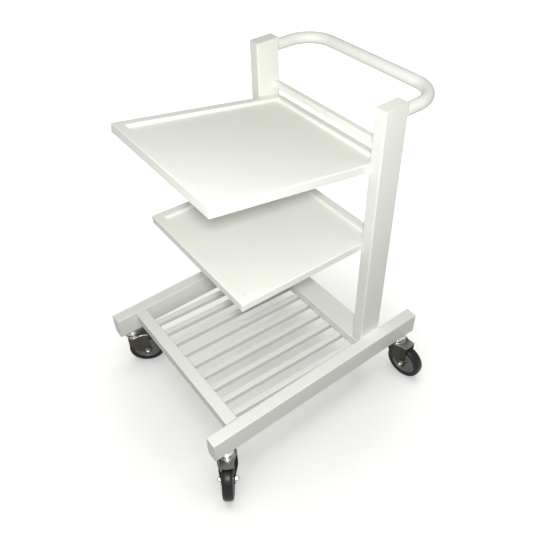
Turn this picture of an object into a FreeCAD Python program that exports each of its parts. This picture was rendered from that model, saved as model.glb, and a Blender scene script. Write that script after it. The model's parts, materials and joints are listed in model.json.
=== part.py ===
import FreeCAD, Part
import os
import re

import Sketcher
from FreeCAD import Placement, Rotation, Vector

# Diathermy trolley: a welded frame of painted steel tube, a tilted top shelf, a nearly level
# lower shelf, a bottom rack of nine slats, a push handle behind and four swivel castors.
# +Z is up, the front of the trolley faces -Y and the push handle is at +Y.
# The origin is on the floor, under the middle of the trolley's overall box.
# Lengths are in millimetres and angles in degrees.

SIZES = {
    # Main tube, used for the rails, the posts and the rear cross member
    "tube_wide": 76,
    "tube_narrow": 38,
    "tube_wall": 1.6,
    "tube_corner": 3.5,
    "end_plate": 2,
    # Base frame
    "post_gap": 464,
    "rail_length": 786,
    "rail_overhang": 132,
    "crossbar_size": 38,
    "crossbar_setback": 67.5,
    "crossmember_drop": 30,
    # Bottom rack
    "slat_size": 19,
    "slat_wall": 1.2,
    "slat_corner": 2,
    "slat_pitch": 56.5,
    "slat_lap": 38,
    # Posts, tie bar and push handle
    "post_rise": 784,
    "tie_size": 19,
    "tie_wall": 1.2,
    "tie_corner": 2.5,
    "tie_drop": 127.5,
    "handle_tube": 34,
    "handle_wall": 1.6,
    "handle_drop": 30,
    "handle_reach": 140,
    "handle_bend": 86,
    # Shelves
    "top_shelf_drop": 171,
    "top_shelf_depth": 546,
    "top_shelf_edge": 25,
    "top_shelf_tilt": 10.1,
    "top_shelf_setback": 2,
    "lower_shelf_drop": 420,
    "lower_shelf_depth": 479,
    "lower_shelf_edge": 23,
    "lower_shelf_tilt": 2,
    "lower_shelf_setback": 1,
    "shelf_rim": 25,
    "shelf_sheet": 1.5,
    "shelf_corner": 3,
    "shelf_recess": 10,
    "tray_sheet": 1.2,
    "tray_lip": 0.5,
    "tray_corner": 12,
    "tray_floor_bend": 4,
    # Castor wheel
    "castor_inset": 46,
    "castor_trail": 40,
    "wheel_diameter": 125,
    "wheel_width": 32,
    "wheel_side_gap": 2.5,
    "crown_clearance": 12.5,
    "tyre_shoulder": 7.5,
    "centre_diameter": 90,
    "centre_inset": 2.5,
    "centre_ring": 5,
    "web_inset": 3.5,
    "boss_diameter": 26,
    # Castor fork
    "fork_sheet": 2.5,
    "fork_bend": 3,
    "crown_drop": 21,
    "crown_lead": 16,
    "crown_tail": 51,
    "crown_bite": 9,
    "leg_end": 16,
    "leg_slant": 40,
    # Castor swivel head
    "ring_diameter": 50,
    "ring_rise": 1.5,
    "boss_top_diameter": 31,
    "boss_diameter_low": 40,
    "boss_rise": 11.5,
    "boss_taper": 3.5,
    "race_top_diameter": 36,
    "race_diameter": 47,
    "race_sheet": 2,
    "race_step": 3,
    "race_skirt": 3,
    "race_drop": 10.5,
    # Stem, axle and nuts
    "stem_diameter": 12,
    "stem_head_diameter": 20,
    "stem_head_height": 4,
    "stem_nut_height": 9,
    "stem_nut_flats": 19,
    "stem_over": 3,
    "axle_diameter": 8,
    "sleeve_diameter": 12,
    "axle_nut_flats": 13,
    "axle_nut_height": 4.5,
    "axle_dome": 5.6,
    "axle_over": 4,
    # Clearances, radial or along the axis
    "running_clearance": 0.05,
    "bolt_clearance": 0.15,
    "moving_gap": 0.4,
    # Castor headings at rest, from +X towards +Y
    "angle_front_left": 62.8,
    "angle_front_right": -34.3,
    "angle_rear_right": 6.2,
}

SLAT_COUNT = 9

# Places worked out from the sizes. Heights are above the floor and y is behind the rear
# faces of the posts, until place() moves everything to the origin.
DERIVED = {
    "castor_height": "wheel_diameter + crown_clearance + fork_sheet + crown_drop",
    "fork_gap": "wheel_width + 2 * wheel_side_gap",
    "rail_top": "castor_height + tube_wide",
    "rail_front": "rail_overhang - rail_length",
    "rail_x": "post_gap / 2 + tube_narrow * 1.5",
    "rail_gap": "post_gap + 2 * tube_narrow",
    "post_x": "post_gap / 2 + tube_narrow / 2",
    "post_top": "rail_top + post_rise",
    "crossbar_y": "rail_front + crossbar_setback + crossbar_size / 2",
    "crossmember_top": "rail_top - crossmember_drop",
    "slat_front_top": "rail_top - crossbar_size",
    "slat_rear_top": "crossmember_top - tube_narrow",
    "slat_run": "-tube_wide - crossbar_y",
    "slat_slope": "atan((slat_front_top - slat_rear_top) / slat_run)",
    "slat_length": "(slat_run + slat_lap) / cos(slat_slope)",
    "castor_front_y": "rail_front + castor_inset",
    "castor_rear_y": "rail_overhang - castor_inset",
    "angle_rear_left": "180 - angle_rear_right",
    "wheel_radius": "wheel_diameter / 2",
    "tyre_inner": "centre_diameter / 2",
    "centre_half": "wheel_width / 2 - centre_inset",
    "web_half": "centre_half - web_inset",
    "fork_width": "fork_gap + 2 * fork_sheet",
    "crown_top": "castor_height - crown_drop",
    "crown_under": "crown_top - fork_sheet",
    "stem_radius": "stem_diameter / 2",
    "race_lip": "castor_height - race_drop",
    "shelf_width": "post_gap",
}


def tread_reach(heading):
    """How far a wheel reaches towards the front from its castor's swivel axis."""
    return (
        f"(wheel_radius - tyre_shoulder) * abs(sin({heading})) + tyre_shoulder"
        f" + (wheel_width / 2 - tyre_shoulder) * abs(cos({heading})) - castor_trail * sin({heading})"
    )


DERIVED["front_end"] = (
    "min(rail_front; "
    f"castor_front_y - ({tread_reach('angle_front_right')}); "
    f"castor_front_y - ({tread_reach('angle_front_left')}))"
)
DERIVED["rear_end"] = "handle_reach + handle_tube / 2"
DERIVED["middle_y"] = "(front_end + rear_end) / 2"

CASTORS = {
    "front_left": ("-rail_x", "castor_front_y", "angle_front_left"),
    "front_right": ("rail_x", "castor_front_y", "angle_front_right"),
    "rear_left": ("-rail_x", "castor_rear_y", "angle_rear_left"),
    "rear_right": ("rail_x", "castor_rear_y", "angle_rear_right"),
}

X_AXIS = Vector(1, 0, 0)
Y_AXIS = Vector(0, 1, 0)
Z_AXIS = Vector(0, 0, 1)
# The plane across each axis, which a tube's section is drawn on
SECTION_PLANE = {"X": "YZ_Plane", "Y": "XZ_Plane", "Z": "XY_Plane"}

doc = FreeCAD.newDocument("DiathermyTrolley")
sheet = doc.addObject("Spreadsheet::Sheet", "Sizes")
for row, (alias, size) in enumerate(SIZES.items(), start=1):
    sheet.set(f"A{row}", alias.replace("_", " "))
    sheet.set(f"B{row}", str(size))
    sheet.setAlias(f"B{row}", alias)
doc.recompute()

subparts = []


def formula(text):
    """Write a formula of named sizes and places out in cells of the sheet."""
    def spell(match):
        word = match.group(0)
        if word in DERIVED:
            return f"({formula(DERIVED[word])})"
        return f"Sizes.{word}" if word in SIZES else word

    return re.sub(r"[a-z_]+", spell, str(text))


def number(text):
    """The present value of a formula."""
    result = sheet.evalExpression(formula(text))
    return float(getattr(result, "Value", result))


def bind(target, name, text):
    """Tie a property of an object to a formula."""
    target.setExpression(name, formula(text))


def place(target, x, y, z, axis=Z_AXIS, turn="0"):
    """Put an object at a point of the trolley, turned about an axis through that point."""
    target.Placement = Placement(Vector(0, 0, 0), Rotation(axis, 1))
    bind(target, "Placement.Base.x", x)
    bind(target, "Placement.Base.y", f"{y} - middle_y")
    bind(target, "Placement.Base.z", z)
    bind(target, "Placement.Rotation.Angle", turn)


def new_body(label):
    """Start a sub-part; its label names its file."""
    body = doc.addObject("PartDesign::Body", label)
    body.Label = label
    subparts.append(body)
    return body


def new_sketch(body, role, offset="0"):
    """A sketch on one of the body's own origin planes, moved along the plane's normal."""
    sketch = body.newObject("Sketcher::SketchObject", "Sketch")
    plane = next(item for item in body.Origin.OriginFeatures if item.Role == role)
    sketch.AttachmentSupport = [(plane, "")]
    sketch.MapMode = "FlatFace"
    bind(sketch, "AttachmentOffset.Base.z", offset)
    return sketch


def pin_point(sketch, geometry, end, u, v):
    """Hold one point of a sketch at a place given by two formulas."""
    for kind, text in (("DistanceX", u), ("DistanceY", v)):
        held = Sketcher.Constraint(kind, -1, 1, geometry, end, number(text))
        index = sketch.addConstraint(held)
        bind(sketch, f"Constraints[{index}]", text)


def draw_loop(sketch, corners):
    """Draw a closed outline of straight sides through corners given as formulas."""
    points = [Vector(number(u), number(v), 0) for u, v in corners]
    first = sketch.GeometryCount
    for start, end in zip(points, points[1:] + points[:1]):
        sketch.addGeometry(Part.LineSegment(start, end), False)
    for side, (u, v) in enumerate(corners):
        follower = (side + 1) % len(corners)
        sketch.addConstraint(Sketcher.Constraint("Coincident", first + side, 2, first + follower, 1))
        pin_point(sketch, first + side, 1, u, v)


def draw_circle(sketch, u, v, diameter):
    """Draw a circle with its centre and diameter given as formulas."""
    centre = Vector(number(u), number(v), 0)
    index = sketch.addGeometry(Part.Circle(centre, Z_AXIS, number(diameter) / 2), False)
    pin_point(sketch, index, 3, u, v)
    size = sketch.addConstraint(Sketcher.Constraint("Diameter", index, number(diameter)))
    bind(sketch, f"Constraints[{size}]", diameter)


def rectangle(wide, high, u="0", v="0"):
    """The corners of a rectangle about a centre."""
    left, right = f"{u} - ({wide}) / 2", f"{u} + ({wide}) / 2"
    low, top = f"{v} - ({high}) / 2", f"{v} + ({high}) / 2"
    return [(left, low), (right, low), (right, top), (left, top)]


def pad(body, sketch, length, side="Symmetric", back=False):
    """Add a prism of a sketch."""
    feature = body.newObject("PartDesign::Pad", "Pad")
    feature.Profile = sketch
    feature.SideType = side
    feature.Reversed = back
    bind(feature, "Length", length)
    return finish_step(body, feature)


def pocket(body, sketch, length, side="Symmetric", back=False):
    """Cut a prism of a sketch, and make sure that it took something away."""
    before = body.Tip.Shape.Volume
    feature = body.newObject("PartDesign::Pocket", "Pocket")
    feature.Profile = sketch
    feature.SideType = side
    feature.Reversed = back
    bind(feature, "Length", length)
    finish_step(body, feature)
    if feature.Shape.Volume >= before:
        raise RuntimeError(f"{body.Label}: a pocket cuts nothing")
    return feature


def fillet(body, edge_test, radius):
    """Round the edges of the body that pass a test."""
    base = body.Tip
    chosen = [
        f"Edge{index}"
        for index, edge in enumerate(base.Shape.Edges, start=1)
        if edge_test(edge)
    ]
    feature = body.newObject("PartDesign::Fillet", "Fillet")
    feature.Base = (base, chosen)
    bind(feature, "Radius", radius)
    return finish_step(body, feature)


def finish_step(body, feature):
    """Work a feature out and make it the body's last one."""
    body.Tip = feature
    doc.recompute()
    return feature


def same(first, second):
    """Whether two lengths are equal within modelling accuracy."""
    return abs(first - second) < 1e-4


def runs_along(edge, axis):
    """Whether an edge is straight and parallel to an axis."""
    if edge.Curve.TypeId != "Part::GeomLine":
        return False
    start, end = (vertex.Point for vertex in edge.Vertexes)
    return (end - start).cross(axis).Length < 1e-4


def lies_at(edge, **places):
    """Whether an edge's middle lies at the given coordinates, either side of zero."""
    middle = edge.CenterOfMass
    return all(same(abs(getattr(middle, axis)), abs(value)) for axis, value in places.items())


def bar(label, axis, wide, high, length, corner, wall=None):
    """A straight tube, or a solid plate or bar where no wall is given, about its own centre."""
    body = new_body(label)
    section = new_sketch(body, SECTION_PLANE[axis])
    draw_loop(section, rectangle(wide, high))
    if wall:
        draw_loop(section, rectangle(f"{wide} - 2 * {wall}", f"{high} - 2 * {wall}"))
    pad(body, section, length)
    across = [name for name in "xyz" if name != axis.lower()]
    outside = dict(zip(across, (number(wide) / 2, number(high) / 2)))
    direction = {"X": X_AXIS, "Y": Y_AXIS, "Z": Z_AXIS}[axis]
    fillet(body, lambda edge: runs_along(edge, direction) and lies_at(edge, **outside), corner)
    return body


def turned(label, role, profile):
    """A round sub-part: a profile of (along, radius) points turned about its own axis."""
    body = new_body(label)
    sketch = new_sketch(body, role)
    along_y = role == "YZ_Plane"
    draw_loop(sketch, profile if along_y else [(radius, along) for along, radius in profile])
    feature = body.newObject("PartDesign::Revolution", "Revolution")
    feature.Profile = sketch
    feature.ReferenceAxis = (sketch, ["H_Axis" if along_y else "V_Axis"])
    feature.Angle = 360
    finish_step(body, feature)
    return body


# Base frame


def make_rails():
    """The two side rails, with holes for the castor stems, and their welded end plates."""
    for side, x in (("left", "-rail_x"), ("right", "rail_x")):
        rail_y = "(rail_front + rail_overhang) / 2"
        tube_length = "rail_length - 2 * end_plate"
        rail = bar(
            f"rail_{side}", "Y", "tube_narrow", "tube_wide", tube_length, "tube_corner", "tube_wall"
        )
        holes = new_sketch(rail, "XY_Plane", "-tube_wide / 2 + tube_wall / 2")
        for end in ("-", ""):
            reach = f"{end}(rail_length / 2 - castor_inset)"
            draw_circle(holes, "0", reach, "stem_diameter + 2 * bolt_clearance")
        pocket(rail, holes, "tube_wall * 2")
        place(rail, x, rail_y, "rail_top - tube_wide / 2")
        for end, y in (
            ("front", "rail_front + end_plate / 2"),
            ("rear", "rail_overhang - end_plate / 2"),
        ):
            plate = bar(
                f"rail_plate_{end}_{side}", "Y", "tube_narrow", "tube_wide", "end_plate", "tube_corner"
            )
            place(plate, x, y, "rail_top - tube_wide / 2")


def make_cross_tubes():
    """The front crossbar and the flat rear cross member that the posts stand on."""
    crossbar = bar(
        "front_crossbar", "X", "crossbar_size", "crossbar_size", "rail_gap", "tube_corner", "tube_wall"
    )
    place(crossbar, "0", "crossbar_y", "rail_top - crossbar_size / 2")
    member = bar(
        "rear_crossmember", "X", "tube_wide", "tube_narrow", "rail_gap", "tube_corner", "tube_wall"
    )
    place(member, "0", "-tube_wide / 2", "crossmember_top - tube_narrow / 2")


def make_slats():
    """The bottom rack: slats welded under both cross tubes, falling towards the rear."""
    y = "crossbar_y + slat_length / 2 * cos(slat_slope) - slat_size / 2 * sin(slat_slope)"
    z = "slat_front_top - slat_length / 2 * sin(slat_slope) - slat_size / 2 * cos(slat_slope)"
    for index in range(SLAT_COUNT):
        slat = bar(
            f"slat_{index + 1}", "Y", "slat_size", "slat_size", "slat_length", "slat_corner", "slat_wall"
        )
        x = f"{index - (SLAT_COUNT - 1) / 2} * slat_pitch"
        place(slat, x, y, z, X_AXIS, "-slat_slope")


# Uprights


def make_posts():
    """The two posts with their top plates, and the tie bar between them."""
    for side, x in (("left", "-post_x"), ("right", "post_x")):
        height = "post_top - end_plate - crossmember_top"
        post = bar(
            f"post_{side}", "Z", "tube_narrow", "tube_wide", height, "tube_corner", "tube_wall"
        )
        place(post, x, "-tube_wide / 2", f"crossmember_top + ({height}) / 2")
        plate = bar(
            f"post_plate_{side}", "Z", "tube_narrow", "tube_wide", "end_plate", "tube_corner"
        )
        place(plate, x, "-tube_wide / 2", "post_top - end_plate / 2")
    tie = bar("tie_bar", "X", "tie_size", "tie_size", "post_gap", "tie_corner", "tie_wall")
    place(tie, "0", "-tie_size / 2", "post_top - tie_drop - tie_size / 2")


def make_handle():
    """The push handle: one round tube bent to a U, butted on the rear faces of the posts."""
    body = new_body("push_handle")
    path = new_sketch(body, "XY_Plane")
    turn = "handle_bend"
    bend_x, bend_y = f"post_x - {turn}", f"handle_reach - {turn}"
    legs = [
        (("-post_x", "0"), ("-post_x", bend_y)),
        ((f"-({bend_x})", "handle_reach"), (bend_x, "handle_reach")),
        (("post_x", bend_y), ("post_x", "0")),
    ]
    for start, end in legs:
        points = [Vector(number(u), number(v), 0) for u, v in (start, end)]
        index = path.addGeometry(Part.LineSegment(*points), False)
        pin_point(path, index, 1, *start)
        pin_point(path, index, 2, *end)
    quarter = 1.5707963267948966
    for centre_x, first_angle, tail, head in (
        (f"-({bend_x})", quarter, (1, 1), (0, 2)),
        (bend_x, 0.0, (2, 1), (1, 2)),
    ):
        centre = Vector(number(centre_x), number(bend_y), 0)
        circle = Part.Circle(centre, Z_AXIS, number(turn))
        index = path.addGeometry(Part.ArcOfCircle(circle, first_angle, first_angle + quarter), False)
        path.addConstraint(Sketcher.Constraint("Coincident", index, 1, *tail))
        path.addConstraint(Sketcher.Constraint("Coincident", index, 2, *head))
        radius = path.addConstraint(Sketcher.Constraint("Radius", index, number(turn)))
        bind(path, f"Constraints[{radius}]", turn)
    section = new_sketch(body, "XZ_Plane")
    draw_circle(section, "-post_x", "0", "handle_tube")
    draw_circle(section, "-post_x", "0", "handle_tube - 2 * handle_wall")
    pipe = body.newObject("PartDesign::AdditivePipe", "Pipe")
    pipe.Profile = section
    pipe.Spine = (path, [])
    finish_step(body, pipe)
    place(body, "0", "0", "post_top - handle_drop")


# Shelves


def make_shelf(name):
    """A shelf frame of folded channel, open below, and the sheet tray welded inside it."""
    depth, edge = f"{name}_depth", f"{name}_edge"
    opening_wide = "(shelf_width - 2 * shelf_rim)"
    opening_deep = f"({depth} - 2 * shelf_rim)"
    middle = f"-{depth} / 2"

    frame = new_body(f"{name}_frame")
    plan = new_sketch(frame, "XY_Plane")
    draw_loop(plan, rectangle("shelf_width", depth, "0", middle))
    draw_loop(plan, rectangle(opening_wide, opening_deep, "0", middle))
    pad(frame, plan, edge, "One side", True)
    outer_x, front_y = number("shelf_width / 2"), number(depth)

    def outer_edge(edge_shape):
        centre = edge_shape.CenterOfMass
        on_outline = same(abs(centre.x), outer_x) or same(centre.y, 0) or same(centre.y, -front_y)
        return on_outline and (runs_along(edge_shape, Z_AXIS) or same(centre.z, 0))

    fillet(frame, outer_edge, "shelf_corner")
    channel = new_sketch(frame, "XY_Plane", f"-{edge}")
    skin = "2 * shelf_sheet"
    draw_loop(channel, rectangle(f"shelf_width - {skin}", f"{depth} - {skin}", "0", middle))
    draw_loop(channel, rectangle(f"{opening_wide} + {skin}", f"{opening_deep} + {skin}", "0", middle))
    pocket(frame, channel, f"{edge} - shelf_sheet", "One side", True)

    tray = new_body(f"{name}_tray")
    floor_under = "shelf_recess + tray_sheet"
    blank = new_sketch(tray, "XY_Plane", f"-({floor_under})")
    draw_loop(blank, rectangle(opening_wide, opening_deep, "0", middle))
    pad(tray, blank, f"{floor_under} - tray_lip", "One side")
    inside = new_sketch(tray, "XY_Plane", "-shelf_recess")
    sheet_wide, sheet_deep = f"{opening_wide} - 2 * tray_sheet", f"{opening_deep} - 2 * tray_sheet"
    draw_loop(inside, rectangle(sheet_wide, sheet_deep, "0", middle))
    pocket(tray, inside, "shelf_recess", "One side", True)
    inner_x, floor_z = number(sheet_wide) / 2, -number("shelf_recess")
    fillet(
        tray,
        lambda item: runs_along(item, Z_AXIS) and same(abs(item.CenterOfMass.x), inner_x),
        "tray_corner",
    )
    fillet(tray, lambda item: same(item.BoundBox.ZMin, floor_z) and same(item.BoundBox.ZMax, floor_z),
           "tray_floor_bend")

    for body in (frame, tray):
        place(body, "0", f"-{name}_setback", f"post_top - {name}_drop", X_AXIS, f"-{name}_tilt")


# Castors


def make_stem(name, x, y):
    """The bolt that a fork swivels on, hung in the rail's bottom wall."""
    head_top = "crown_under - moving_gap"
    head_under = f"{head_top} - stem_head_height"
    top = "castor_height + tube_wall + stem_nut_height + stem_over"
    stem = turned(f"castor_{name}_stem", "XZ_Plane", [
        (head_under, "0"), (head_under, "stem_head_diameter / 2"), (head_top, "stem_head_diameter / 2"),
        (head_top, "stem_radius"), (top, "stem_radius"), (top, "0"),
    ])
    place(stem, x, y, "0")


def make_race(name, x, y):
    """The fixed cup of the swivel head, a stepped dome pressed against the rail."""
    bore = "stem_radius + running_clearance"
    step = "castor_height - race_step"
    inner_top = "castor_height - race_step - race_sheet / 2"
    shoulder = "race_lip + race_skirt"
    race = turned(f"castor_{name}_race", "XZ_Plane", [
        ("castor_height", bore), ("castor_height", "race_top_diameter / 2"),
        (step, "race_top_diameter / 2"), (shoulder, "race_diameter / 2"),
        ("race_lip", "race_diameter / 2"), ("race_lip", "race_diameter / 2 - race_sheet"),
        (f"{shoulder} - race_sheet / 4", "race_diameter / 2 - race_sheet"),
        (inner_top, "race_top_diameter / 2 - race_sheet"), (inner_top, bore),
    ])
    place(race, x, y, "0")


def make_fork(name, x, y, heading):
    """The swivel fork: a crown with a raceway boss, and two legs slanted to the axle."""
    fork = new_body(f"castor_{name}_fork")
    tangent_x = "castor_trail - leg_end * cos(leg_slant)"
    tangent_z = "wheel_radius - leg_end * sin(leg_slant)"
    side = new_sketch(fork, "XZ_Plane")
    draw_loop(side, [
        ("-crown_lead", "crown_top"), ("crown_tail", "crown_top"), ("crown_tail", "wheel_radius"),
        ("castor_trail", "wheel_radius"), (tangent_x, tangent_z),
        ("-crown_lead", f"{tangent_z} + ({tangent_x} + crown_lead) / tan(leg_slant)"),
    ])
    pad(fork, side, "fork_width")
    ends = new_sketch(fork, "XZ_Plane")
    draw_circle(ends, "castor_trail", "wheel_radius", "2 * leg_end")
    pad(fork, ends, "fork_width")
    crown_z, half = number("crown_top"), number("fork_width / 2")
    fillet(fork, lambda edge: runs_along(edge, X_AXIS) and lies_at(edge, y=half, z=crown_z), "fork_bend")

    slot = new_sketch(fork, "XZ_Plane")
    draw_loop(slot, [
        ("-crown_lead * 2", "crown_under"), ("crown_tail * 2", "crown_under"),
        ("crown_tail * 2", "0"), ("-crown_lead * 2", "0"),
    ])
    pocket(fork, slot, "fork_gap")
    bite = new_sketch(fork, "XY_Plane", "crown_top")
    bite_radius = "(fork_gap * fork_gap / 4 / crown_bite + crown_bite) / 2"
    draw_circle(bite, f"crown_tail + {bite_radius} - crown_bite", "0", f"2 * ({bite_radius})")
    pocket(fork, bite, "fork_sheet", "One side")

    ring = new_sketch(fork, "XY_Plane", "crown_under")
    draw_circle(ring, "0", "0", "ring_diameter")
    pad(fork, ring, "fork_sheet + ring_rise", "One side")
    boss = new_sketch(fork, "XZ_Plane")
    boss_top = "crown_top + ring_rise + boss_rise"
    draw_loop(boss, [
        ("0", "crown_top"), ("boss_diameter_low / 2", "crown_top"),
        ("boss_diameter_low / 2", f"{boss_top} - boss_taper"), ("boss_top_diameter / 2", boss_top),
        ("0", boss_top),
    ])
    raceway = fork.newObject("PartDesign::Revolution", "Raceway")
    raceway.Profile = boss
    raceway.ReferenceAxis = (boss, ["V_Axis"])
    raceway.Angle = 360
    finish_step(fork, raceway)
    bore = new_sketch(fork, "XY_Plane", boss_top)
    draw_circle(bore, "0", "0", "stem_diameter + 2 * running_clearance")
    pocket(fork, bore, f"{boss_top} - crown_under", "One side")
    pin = new_sketch(fork, "XZ_Plane")
    draw_circle(pin, "castor_trail", "wheel_radius", "axle_diameter + 2 * running_clearance")
    pocket(fork, pin, "fork_width")
    place(fork, x, y, "0", Z_AXIS, heading)


def make_axle(name, place_at_wheel):
    """The axle with its spacer sleeve and the two cap nuts outside the fork legs."""
    reach = "fork_width / 2 + axle_over"
    axle = turned(f"castor_{name}_axle", "YZ_Plane", [
        (f"-({reach})", "0"), (f"-({reach})", "axle_diameter / 2"),
        (reach, "axle_diameter / 2"), (reach, "0"),
    ])
    bore = "axle_diameter / 2 + running_clearance"
    sleeve = turned(f"castor_{name}_sleeve", "YZ_Plane", [
        ("-fork_gap / 2", bore), ("-fork_gap / 2", "sleeve_diameter / 2"),
        ("fork_gap / 2", "sleeve_diameter / 2"), ("fork_gap / 2", bore),
    ])
    for body in (axle, sleeve):
        place_at_wheel(body)

    nuts = []
    for tag, turn in (("a", -90), ("b", 90)):
        blank = doc.addObject("Part::Prism", "NutBlank")
        blank.Polygon = 6
        bind(blank, "Circumradius", "axle_nut_flats / 2 / cos(30)")
        bind(blank, "Height", "axle_nut_height")
        dome = doc.addObject("Part::Sphere", "NutDome")
        dome.Angle1 = 0
        bind(dome, "Radius", "axle_dome")
        bind(dome, "Placement.Base.z", "axle_nut_height")
        body = doc.addObject("Part::Fuse", "NutBody")
        body.Base, body.Tool = blank, dome
        hole = doc.addObject("Part::Cylinder", "NutBore")
        bind(hole, "Radius", bore)
        bind(hole, "Height", "axle_over + moving_gap")
        nut = doc.addObject("Part::Cut", f"AxleNut_{tag}")
        nut.Base, nut.Tool = body, hole
        nut.Placement = Placement(Vector(0, 0, 0), Rotation(X_AXIS, turn))
        bind(nut, "Placement.Base.y", "fork_width / 2" if turn < 0 else "-fork_width / 2")
        nuts.append(nut)
    pair = doc.addObject("Part::Compound", f"castor_{name}_axle_nuts")
    pair.Label = f"castor_{name}_axle_nuts"
    pair.Links = nuts
    subparts.append(pair)
    place_at_wheel(pair)


def make_wheel(name, place_at_wheel):
    """The moulded wheel centre and the rubber tyre round it."""
    boss_half = "fork_gap / 2 - moving_gap"
    ring_inner = "tyre_inner - centre_ring"
    bore = "sleeve_diameter / 2 + running_clearance"
    near_side = [
        (boss_half, bore), (boss_half, "boss_diameter / 2"), ("web_half", "boss_diameter / 2"),
        ("web_half", f"{ring_inner} - web_inset / 2"), ("centre_half", ring_inner),
        ("centre_half", "tyre_inner"),
    ]
    far_side = [(f"-({along})", radius) for along, radius in reversed(near_side)]
    centre = turned(f"castor_{name}_wheel_centre", "YZ_Plane", near_side + far_side)
    tyre = turned(f"castor_{name}_tyre", "YZ_Plane", [
        ("-wheel_width / 2", "tyre_inner"), ("-wheel_width / 2", "wheel_radius"),
        ("wheel_width / 2", "wheel_radius"), ("wheel_width / 2", "tyre_inner"),
    ])
    tread = number("wheel_radius")
    fillet(
        tyre,
        lambda edge: edge.Curve.TypeId == "Part::GeomCircle" and same(edge.Curve.Radius, tread),
        "tyre_shoulder",
    )
    for body in (centre, tyre):
        place_at_wheel(body)


def make_castors():
    """Four swivel castors under the ends of the rails, each at its own heading."""
    for name, (x, y, heading) in CASTORS.items():
        wheel_x = f"{x} + castor_trail * cos({heading})"
        wheel_y = f"{y} + castor_trail * sin({heading})"

        def place_at_wheel(target, spot=(wheel_x, wheel_y), turn=heading):
            place(target, *spot, "wheel_radius", Z_AXIS, turn)

        make_stem(name, x, y)
        make_race(name, x, y)
        make_fork(name, x, y, heading)
        make_axle(name, place_at_wheel)
        make_wheel(name, place_at_wheel)


def make_stem_nuts():
    """The nuts inside the rails that hold the castor stems, one group for all four."""
    nuts = []
    for name, (x, y, _heading) in CASTORS.items():
        blank = doc.addObject("Part::Prism", "StemNutBlank")
        blank.Polygon = 6
        bind(blank, "Circumradius", "stem_nut_flats / 2 / cos(30)")
        bind(blank, "Height", "stem_nut_height")
        hole = doc.addObject("Part::Cylinder", "StemNutBore")
        bind(hole, "Radius", "stem_radius + running_clearance")
        bind(hole, "Height", "stem_nut_height")
        nut = doc.addObject("Part::Cut", f"StemNut_{name}")
        nut.Base, nut.Tool = blank, hole
        place(nut, x, y, "castor_height + tube_wall")
        nuts.append(nut)
    group = doc.addObject("Part::Compound", "stem_nuts")
    group.Label = "stem_nuts"
    group.Links = nuts
    subparts.append(group)


def check_model():
    """Stop if any object failed or any sub-part has no sound shape."""
    for item in doc.Objects:
        if "Invalid" in item.State or "Error" in item.State:
            raise RuntimeError(f"{item.Label} could not be worked out: {item.State}")
    for part in subparts:
        if part.Shape.isNull() or not part.Shape.isValid() or not part.Shape.Solids:
            raise RuntimeError(f"{part.Label} has no sound solid")


def write_parts():
    """Write each sub-part's shape to its own file."""
    os.makedirs("parts", exist_ok=True)
    for part in subparts:
        part.Shape.exportStep(os.path.join("parts", f"{part.Label}.step"))


make_rails()
make_cross_tubes()
make_slats()
make_posts()
make_handle()
make_shelf("top_shelf")
make_shelf("lower_shelf")
make_castors()
make_stem_nuts()
doc.recompute()
check_model()
write_parts()
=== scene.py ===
"""Diathermy trolley, dressed for display.

A welded frame of box tube, two folded shelves with sheet trays, a slatted base rack and a bent
push handle, all in ivory powder coat, on four zinc-plated swivel castors.
Lengths are in metres, +Z is up, the front of the trolley faces -Y.
"""

import json
import logging
import math
from dataclasses import dataclass, field
from enum import Enum
from typing import Callable, Iterable, Sequence

import bmesh
import bpy
from bmesh.types import BMEdge, BMesh, BMVert
from mathutils import Matrix, Vector


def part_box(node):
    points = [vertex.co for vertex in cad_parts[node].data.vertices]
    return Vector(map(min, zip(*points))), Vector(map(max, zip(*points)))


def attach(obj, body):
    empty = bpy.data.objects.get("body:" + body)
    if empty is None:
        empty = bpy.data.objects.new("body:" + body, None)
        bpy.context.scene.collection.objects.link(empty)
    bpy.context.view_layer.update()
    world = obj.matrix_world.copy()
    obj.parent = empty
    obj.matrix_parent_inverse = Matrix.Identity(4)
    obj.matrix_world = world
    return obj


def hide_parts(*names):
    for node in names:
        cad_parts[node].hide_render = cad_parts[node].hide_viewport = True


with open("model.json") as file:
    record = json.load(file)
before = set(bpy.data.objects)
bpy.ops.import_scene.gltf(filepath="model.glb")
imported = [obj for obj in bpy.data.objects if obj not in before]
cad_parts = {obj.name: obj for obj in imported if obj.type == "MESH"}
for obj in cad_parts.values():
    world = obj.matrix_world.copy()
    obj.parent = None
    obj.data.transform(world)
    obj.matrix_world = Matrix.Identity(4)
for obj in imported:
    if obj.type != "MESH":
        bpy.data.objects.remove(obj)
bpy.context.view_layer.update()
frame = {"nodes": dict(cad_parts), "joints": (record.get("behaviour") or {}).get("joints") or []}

log = logging.getLogger("trolley")

MM = 0.001
SAME_SPOT = 0.001 * MM
PARALLEL = 0.999
FACING = 0.9
FRAME_BODY = "frame"
QUARTER_TURN = math.pi / 2
Colour = tuple[float, float, float]
Place = tuple[float, float, float]
Profile = Sequence[tuple[float, float]]
Socket = bpy.types.NodeSocket


class Axis(Enum):
    """The three axes of the trolley."""

    X = 0
    Y = 1
    Z = 2

    @property
    def vector(self) -> Vector:
        """The unit vector along the axis."""
        return Vector([1.0 if index == self.value else 0.0 for index in range(3)])


class Side(Enum):
    """Left and right of the trolley, seen from the front."""

    LEFT = -1
    RIGHT = 1

    @property
    def word(self) -> str:
        """The side's name as it stands in node names."""
        return self.name.lower()


class CastorSpot(Enum):
    """The four corners where a castor stands."""

    FRONT_LEFT = "front_left"
    FRONT_RIGHT = "front_right"
    REAR_LEFT = "rear_left"
    REAR_RIGHT = "rear_right"


# Finishes


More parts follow.
